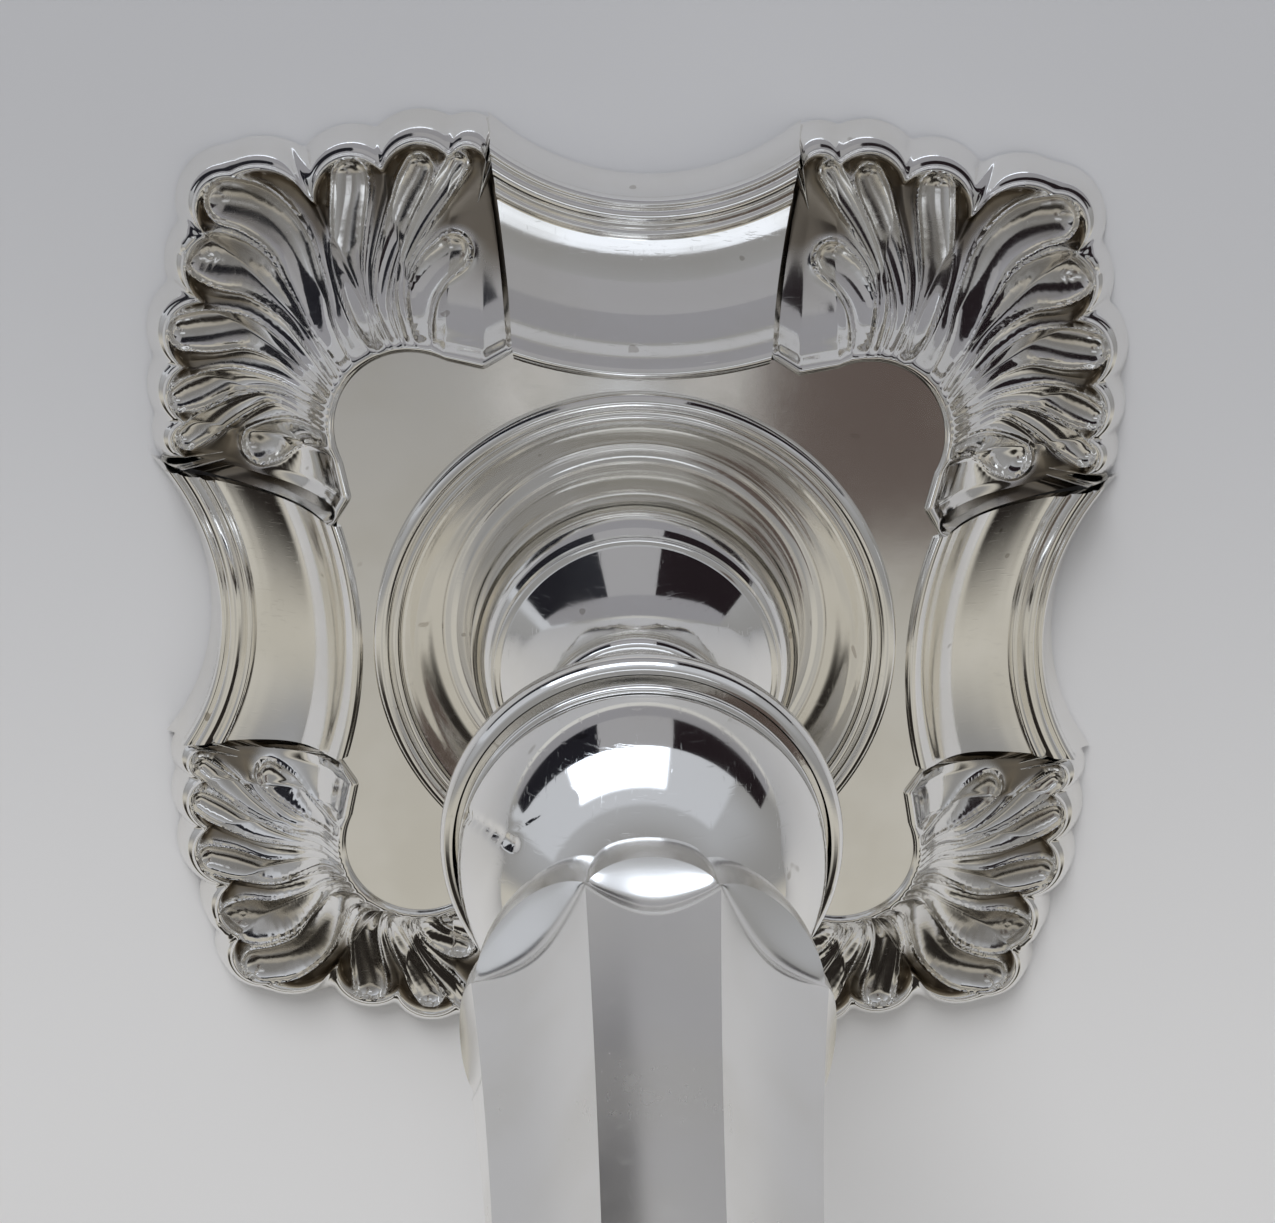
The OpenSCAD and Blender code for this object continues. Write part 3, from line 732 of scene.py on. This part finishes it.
# eight hollow flutes, narrow on the faces and wide between, each ending in a scoop over a rounded lobe
def makeColumn(name, s):
    floor = low("fluted_column")
    tall = high("fluted_column") - floor
    rings = s["under"] + s["scoop"] + s["shaft"]
    piece = spinPiece(name, [(10, i) for i in range(rings + 1)] + [(hole, rings), (hole, 0)], s["steps"])
    points = readPoints(piece)
    core = np.hypot(points[:, 0], points[:, 1]) < 6
    ringNo = np.round(points[:, 2]).astype(int)
    turn = np.mod(np.arctan2(points[:, 1], points[:, 0]), 2 * math.pi) / (2 * math.pi) * 8
    panel = np.floor(turn + 0.5)
    across = (turn - panel) * 2
    half = np.where(panel % 2 == 0, s["faceHalf"], s["betweenHalf"])
    angle = np.radians(panel * 45 + across * half)
    bow = 1 - across ** 2

    def arris(height):
        return 5 + 10.8 * np.exp(-np.maximum(height, 0) / 69.2)

    def flute(height):
        chord = np.cos(np.radians(half)) / np.cos(np.radians(half * across))
        return arris(height) * (chord - s["hollow"] * bow)

    lipHigh = s["lip"] + 0.3 + 2.5 * bow
    rimHigh = s["lip"] - 0.3 - 2 * bow
    rimOut = s["rim"] - 0.5 * np.abs(across) ** 6
    lipOut = flute(lipHigh - s["lip"])
    a = np.clip(ringNo / s["under"], 0, 1)
    swing = a * math.pi / 2
    cusp = 1 - 0.07 * np.abs(across) ** 5 * np.sin(2 * swing)
    underOut = 8.4 + (rimOut - 8.4) * np.sin(swing) ** 0.8 * cusp
    underHigh = rimHigh * (1 - np.cos(swing))
    b = np.clip((ringNo - s["under"]) / s["scoop"], 0, 1)
    scoopOut = rimOut + (lipOut - rimOut) * np.sin(b * math.pi / 2) ** 0.9
    scoopOut = scoopOut - 0.5 * bow * np.sin(math.pi * b ** 1.5)
    scoopHigh = rimHigh + (lipHigh - rimHigh) * b ** 1.1
    c = np.clip((ringNo - s["under"] - s["scoop"]) / s["shaft"], 0, 1)
    topRun = tall - 3.4
    shaftHigh = lipHigh + (topRun - lipHigh) * c ** 1.15
    fade = np.clip((shaftHigh - topRun + 5 * (1 - 0.5 * bow)) / 2.5, 0, 1)
    collar = s["collar"] - 0.4 + 0.7 * np.clip((c - 0.985) / 0.015, 0, 1)
    shaftOut = flute(shaftHigh - s["lip"]) * (1 - fade) + collar * fade
    inUnder = ringNo <= s["under"]
    inScoop = ringNo <= s["under"] + s["scoop"]
    out = np.where(inUnder, underOut, np.where(inScoop, scoopOut, shaftOut))
    up = np.where(inUnder, underHigh, np.where(inScoop, scoopHigh, shaftHigh))
    up = np.where(ringNo == rings, tall, up)
    out = np.where(core, hole, out)
    up = np.where(core, np.where(ringNo > 0, tall, 0), up)
    writePoints(piece, np.column_stack([out * np.cos(angle), out * np.sin(angle), up + floor]))
    tidyMesh(piece, 28)
    return piece


mount(makeColumn("cast_column", column), "stick", "silver_satin", satinSilver, "fluted_column")
print("column fluted")

cap = [
    [(hole, 0), (9, 0)], [(9, 0), (10.1, 0.4), (10.75, 1.2), (10.8, 2), (10.3, 2.8), (9.2, 3.2)],
    [(9.2, 3.2), (8.2, 3.6), (7.5, 4.2), (7.2, 5)], [(7.2, 5), (hole, 5)], [(hole, 5), (hole, 0)],
]
turnPiece("column_cap", cap, polished, "silver", low("column_cap"))
upperKnop = [
    [(hole, 0), (7.2, 0)], [(7.2, 0), (7.5, 0.5), (8.6, 0.9)],
    [(8.6, 0.9), (10.9, 2.3), (12.7, 4.7), (13.3, 7.2), (12.9, 9.7), (11.3, 12), (8.9, 13.8), (7.2, 15.2), (6.35, 17),
     (6.3, 19),
     (6.9, 20.8), (7.8, 21.8)],
    [(7.8, 21.8), (8.9, 22.1), (9.2, 22.8), (9, 23.5), (8.4, 24)], [(8.4, 24), (hole, 24)],
    [(hole, 24), (hole, 0)],
]
turnPiece("upper_knop", upperKnop, polished, "silver", low("upper_knop"))


# ---- socket and nozzle ----

vaseHigh = high("socket_vase") - low("socket_vase")
sleeve = 12.9
pocket = low("socket_liner") - low("socket_vase")
vase = [
    [(hole, 0), (8, 0)], [(8, 0), (8.5, 0.7), (9.7, 1.7)],
    [(9.7, 1.7), (12.2, 3.7), (14.8, 6.9), (16.7, 11), (17.7, 16), (17.98, 20.7), (17.6, 25.4), (16.7, 30), (15.9, 34.4),
     (15.6, 37.4)],
    [(15.6, 37.4), (15.9, 38), (15.7, 38.6)],
    [(15.7, 38.6), (15.6, 39.6), (16.1, 40.8), (16.8, 41.8), (16.9, 43), (16.4, vaseHigh)],
    [(16.4, vaseHigh), (sleeve, vaseHigh)], [(sleeve, vaseHigh), (sleeve, pocket)], [(sleeve, pocket), (hole, pocket)],
    [(hole, pocket), (hole, 0)],
]
turnPiece("socket_vase", vase, polished, "silver", low("socket_vase"), 200)

pan = {
    "tube": 12,
    "scale": 70 / 135 * 67.5 / 64,    # the base's outline drawn small
    "steps": 720,
    "rings": 90,
    "thick": 1.2,
    "depth": 0.75,
}


# lift-out drip pan: a small copy of the base's outline with its shells chased in the corners
def makePan(name, s):
    floor = low("nozzle_pan")
    rings = s["rings"]
    section = [(20 + i, 0) for i in range(rings + 1)] + [(20 + i, -1) for i in range(rings, -1, -6)]
    piece = spinPiece(name, section, s["steps"])
    points = readPoints(piece)
    angle = np.arctan2(points[:, 1], points[:, 0])
    share = (np.hypot(points[:, 0], points[:, 1]) - 20) / rings
    fold = np.mod(angle, math.pi / 2)
    reach = np.zeros(len(angle))
    for x, y, radius in lobes:
        for cx, cy in ((x, y), (y, x)):
            along = cx * np.cos(fold) + cy * np.sin(fold)
            inside = along ** 2 - cx * cx - cy * cy + (radius + 0.6) ** 2
            hit = np.where(inside > 0, along + np.sqrt(np.maximum(inside, 0)), 0)
            reach = np.maximum(reach, hit if cx == x else 0)
    swing = np.minimum(fold, math.pi / 2 - fold)
    sideIn = 92 * np.cos(swing) - np.sqrt(np.maximum(36.5 ** 2 - (92 * np.sin(swing)) ** 2, 0))
    reach = np.where((swing < math.radians(18.4)) & (92 * np.sin(swing) < 36.5), sideIn, np.maximum(reach, 60))
    edge = reach * s["scale"] - 0.3
    radius = s["tube"] + (edge - s["tube"]) * share
    plan = np.column_stack([radius * np.cos(fold), radius * np.sin(fold)]) / s["scale"]
    away, width = fluteDistance(plan)
    inside = np.clip(-away / width, 0, 1)
    scoop = -0.5 * width * (2 * inside - inside ** 2)
    relief = np.where(away < 0, scoop, -0.6 * (1 - np.exp(-np.maximum(away, 0))))
    outerShare = np.clip((radius - 22) / 4, 0, 1)
    outerShare = outerShare * np.clip((fold - 0.33) * 9, 0, 1) * np.clip((1.24 - fold) * 9, 0, 1)
    relief = (relief + 0.25 * np.exp(-(away / 0.35) ** 2)) * s["scale"] * s["depth"] * outerShare
    dish = np.interp(radius, (12, 13.6, 15, 20, 26, 34, 44, 56), (2.1, 2.1, 1.5, 1.7, 2.4, 3.2, 4.1, 5))
    lip = 0.9 * np.exp(-((edge - radius - 0.6) / 0.7) ** 2)
    top = points[:, 2] > -0.5
    level = floor + np.where(top, dish + relief + lip, np.maximum(dish - s["thick"], 0))
    writePoints(piece, np.column_stack([radius * np.cos(angle), radius * np.sin(angle), level]))
    # tarnish together with painted shade in the pan's chased hollows, on the top face only
    soilAndShade = np.clip(-relief * 2, 0, 1) * top
    layer = piece.data.attributes.new("soilAndShade", "FLOAT", "POINT")
    layer.data.foreach_set("value", soilAndShade.astype(np.float32))
    tidyMesh(piece, 45)
    return piece


mount(makePan("chased_pan", pan), "nozzle", "silver", chasedSilver, "nozzle_pan")
tubeHigh = high("nozzle_tube") - low("nozzle_tube")
tube = [
    [(0, 0), (11.5, 0)], [(11.5, 0), (11.9, 0.15), (12, 0.6)], [(12, 0.6), (12, tubeHigh - 2.1)],
    [(12, tubeHigh - 2.1), (13, tubeHigh - 1.9), (13.6, tubeHigh - 1.2), (13.5, tubeHigh - 0.5), (12.8, tubeHigh - 0.05),
     (12.2, tubeHigh)],
    [(12.2, tubeHigh), (11.5, tubeHigh), (11.1, tubeHigh - 0.5)], [(11.1, tubeHigh - 0.5), (11.1, 0.9)],
    [(11.1, 0.9), (0, 0.9)],
    [(0, 0.9), (0, 0)],
]
turnPiece("nozzle_tube", tube, polished, "silver", low("nozzle_tube"), body="nozzle")
print("socket and nozzle turned")


# ---- inside and under the base ----

for node, finish in (("tie_rod", steelFinish("rod_steel", 0.5, (6, 6, 1))),
                     ("rod_washer", steelFinish("washer_steel", 0.55, (1, 5, 5))),
                     ("rod_nut", steelFinish("nut_steel", 0.42, (4, 1, 4))),
                     ("socket_liner", steelFinish("liner_steel", 0.6, (1, 1, 8))),
                     ("pitch_filling", pitchFinish("black_pitch"))):
    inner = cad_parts[node]
    inner.data.materials.clear()
    inner.data.materials.append(finish)

footing = {
    "base_board": {"half": 54.5, "corner": 96, "side": 36.8},
    "baize_pad": {"half": 53.5, "corner": 94.6, "side": 37.8},
}


# flat pieces cut to the base's plan, with eased edges
def cutFlat(node, s, puff):
    floor, tall = low(node), high(node) - low(node)
    rings = 26
    section = [(1 + i, 0) for i in range(rings + 1)] + [(1 + i, 1) for i in range(rings, -1, -1)]
    piece = spinPiece("cut_" + node, [(0, 0)] + section + [(0, 1)], 288)
    points = readPoints(piece)
    angle = np.arctan2(points[:, 1], points[:, 0])
    share = np.hypot(points[:, 0], points[:, 1]) / (rings + 1)
    fold = np.mod(angle, math.pi / 2)
    square = s["half"] / np.maximum(np.cos(fold), np.sin(fold))
    square = np.minimum(square, s["corner"] / (np.cos(fold) + np.sin(fold)))
    swing = np.minimum(fold, math.pi / 2 - fold)
    biteRoot = s["side"] ** 2 - (92 * np.sin(swing)) ** 2
    bite = np.where(biteRoot > 0, 92 * np.cos(swing) - np.sqrt(np.maximum(biteRoot, 0)), 999)
    edge = np.minimum(square, bite)
    ease = np.clip((1 - share) / 0.02, 0, 1)
    lift = tall / 2 + (points[:, 2] - 0.5) * tall * (0.7 + 0.3 * np.sqrt(ease))
    lift = lift + puff * np.sin(points[:, 0] * 1.7) * np.sin(points[:, 1] * 1.3) * (points[:, 2] > 0.5)
    radius = edge * share
    writePoints(piece, np.column_stack([radius * np.cos(angle), radius * np.sin(angle), floor + lift]))
    tidyMesh(piece, 50)
    return piece


for node, puff, slot, finish in (("base_board", 0, "board", boardFinish("sawn_board")),
                                 ("baize_pad", 0.02, "baize", baizeFinish("green_baize"))):
    mount(cutFlat(node, footing[node], puff), "stick", slot, finish, node)
print("board and baize laid")


# ---- floor, lights and what the silver reflects ----

studio = {
    "floor": 3.2,
    "edge": 96,            # the sheet ends just past the base
    "floorColour": (0.86, 0.855, 0.86, 1),
    "grey": (0.27, 0.27, 0.27, 1),
    "table": (0.52, 0.5, 0.45, 1),
    "ceiling": (0.37, 0.362, 0.345, 1),
    "window": (1.9, 2.05, 2.3, 1),
    "wing": (0.52, 0.54, 0.58, 1),
    "dark": (0.02, 0.017, 0.015, 1),
    "below": (0.6, 0.6, 0.585, 1),
}


def layFloor(s):
    deselectAll()
    bpy.ops.mesh.primitive_plane_add(size=s["floor"])
    floor = bpy.context.object
    floor.name = "floor"
    floor.data.transform(Matrix.Translation((0, s["edge"] * mm - s["floor"] / 2, -0.0002)))
    material = bpy.data.materials.new("pale_floor")
    nodes = Nodes(material)
    place = nodes.add("ShaderNodeTexCoord", None, None, out=3)
    mottle = nodes.noise(place, 9, 3)
    split = nodes.add("ShaderNodeSeparateXYZ", None, {0: place})
    depth = Wire(nodes, split.socket.node.outputs[1])
    # painted shade: the floor runs from a darker grey towards +Y to the pale floor colour towards -Y
    sheetWithPaintedShade = nodes.blend(nodes.ease(depth, 0.1, -0.12), (0.51, 0.515, 0.54, 1), s["floorColour"])
    colour = nodes.blend(mottle * 0.15, sheetWithPaintedShade, (0.66, 0.66, 0.67, 1))
    finishMaterial("pale_floor", nodes, Base_Color=colour, Roughness=0.7)
    floor.data.materials.append(material)


def band(nodes, value, start, end, soft):
    return nodes.ease(value, start - soft, start + soft) * (1 - nodes.ease(value, end - soft, end + soft))


# the room as the silver sees it, in degrees round from the back (+Y) and up from level
def paintRoom(s):
    world = bpy.data.worlds.new("room")
    bpy.context.scene.world = world
    nodes = Nodes(world)
    way = nodes.add("ShaderNodeTexCoord", None, None, out=0)
    split = nodes.add("ShaderNodeSeparateXYZ", None, {0: way})
    x, y, z = (Wire(nodes, split.socket.node.outputs[i]) for i in range(3))
    bearing = nodes.add("ShaderNodeMath", {"operation": "ARCTAN2"}, {0: x, 1: y}) * (180 / math.pi)
    lift = nodes.add("ShaderNodeMath", {"operation": "ARCSINE"}, {0: z}) * (180 / math.pi)
    table = nodes.ease(y, -0.08, -0.3)
    window = band(nodes, bearing, -40, 12, 1.5) * band(nodes, lift, -9, 20, 2)
    wing = band(nodes, bearing, -76, 48, 2) * band(nodes, lift, -12, 31, 2)
    glow = band(nodes, bearing, -90, 70, 20) * band(nodes, lift, 2, 45, 14)
    dark = band(nodes, lift, 6, 46, 4) * nodes.ease(y, -0.3, -0.5)
    below = nodes.ease(lift, -12, -30) * (1 - table)
    colour = nodes.blend(glow * 0.5, s["grey"], (0.5, 0.52, 0.56, 1))
    beyond = nodes.blend(nodes.ease(lift, 60, 78), s["table"], s["ceiling"])
    colour = nodes.blend(table, colour, beyond)
    colour = nodes.blend(below, colour, s["below"])
    colour = nodes.blend(dark, colour, s["dark"])
    colour = nodes.blend(wing, colour, s["wing"])
    colour = nodes.blend(window, colour, s["window"])
    light = nodes.add("ShaderNodeBackground", None, {"Color": colour, "Strength": 1.0})
    nodes.add("ShaderNodeOutputWorld", None, {"Surface": light})


# reflector cards that only the silver sees: centre, size, tilt about X and Y, colour
cards = {
    "overhead": ((-10, 150, 340), (230, 70), (20, 0), (0.95, 1.0, 1.08)),
    "coat": ((86, -22, 330), (90, 110), (0, 0), (0.1, 0.078, 0.07)),
    "sheetEdge": ((-20, 108, 14), (500, 28), (90, 0), (0.27, 0.27, 0.29)),
    "lapMiddle": ((-9, 108, 53), (68, 50), (90, 0), (0.33, 0.33, 0.345)),
    "lapLeft": ((-163, 108, 53), (240, 50), (90, 0), (0.012, 0.012, 0.016)),
    "lapRight": ((125, 108, 53), (200, 50), (90, 0), (0.014, 0.01, 0.012)),
}


def hangCard(name, place, size, tilt, colour):
    deselectAll()
    bpy.ops.mesh.primitive_plane_add(size=mm)
    card = bpy.context.object
    card.name = "card_" + name
    card.data.transform(Matrix.Diagonal((size[0], size[1], 1, 1)))
    leanX, leanY = (math.radians(t) for t in tilt)
    card.data.transform(Matrix.Rotation(leanX, 4, "X") @ Matrix.Rotation(leanY, 4, "Y"))
    card.data.transform(Matrix.Translation([c * mm for c in place]))
    material = bpy.data.materials.new("card_" + name)
    nodes = Nodes(material)
    glow = nodes.add("ShaderNodeEmission", None, {"Color": (*colour, 1), "Strength": 1.0})
    nodes.add("ShaderNodeOutputMaterial", None, {"Surface": glow})
    card.data.materials.append(material)
    card.visible_camera = False
    card.visible_diffuse = False
    card.visible_shadow = False


lamps = {
    "overhead": ((-0.2, 0.95, 0.75), 0.6, 9),
    "front": ((0.5, -0.7, 1.0), 0.9, 2.5),
}


def hangLamp(name, place, size, power):
    lamp = bpy.data.objects.new("lamp_" + name, bpy.data.lights.new("lamp_" + name, "AREA"))
    bpy.context.scene.collection.objects.link(lamp)
    lamp.data.size = size
    lamp.data.energy = power
    lamp.location = place
    lamp.rotation_euler = (-lamp.location).to_track_quat("-Z", "Y").to_euler()
    lamp.visible_glossy = False


layFloor(studio)
paintRoom(studio)
for name, card in cards.items():
    hangCard(name, *card)
for name, lamp in lamps.items():
    hangLamp(name, *lamp)
bpy.context.scene.view_settings.view_transform = "Standard"
print("studio set")
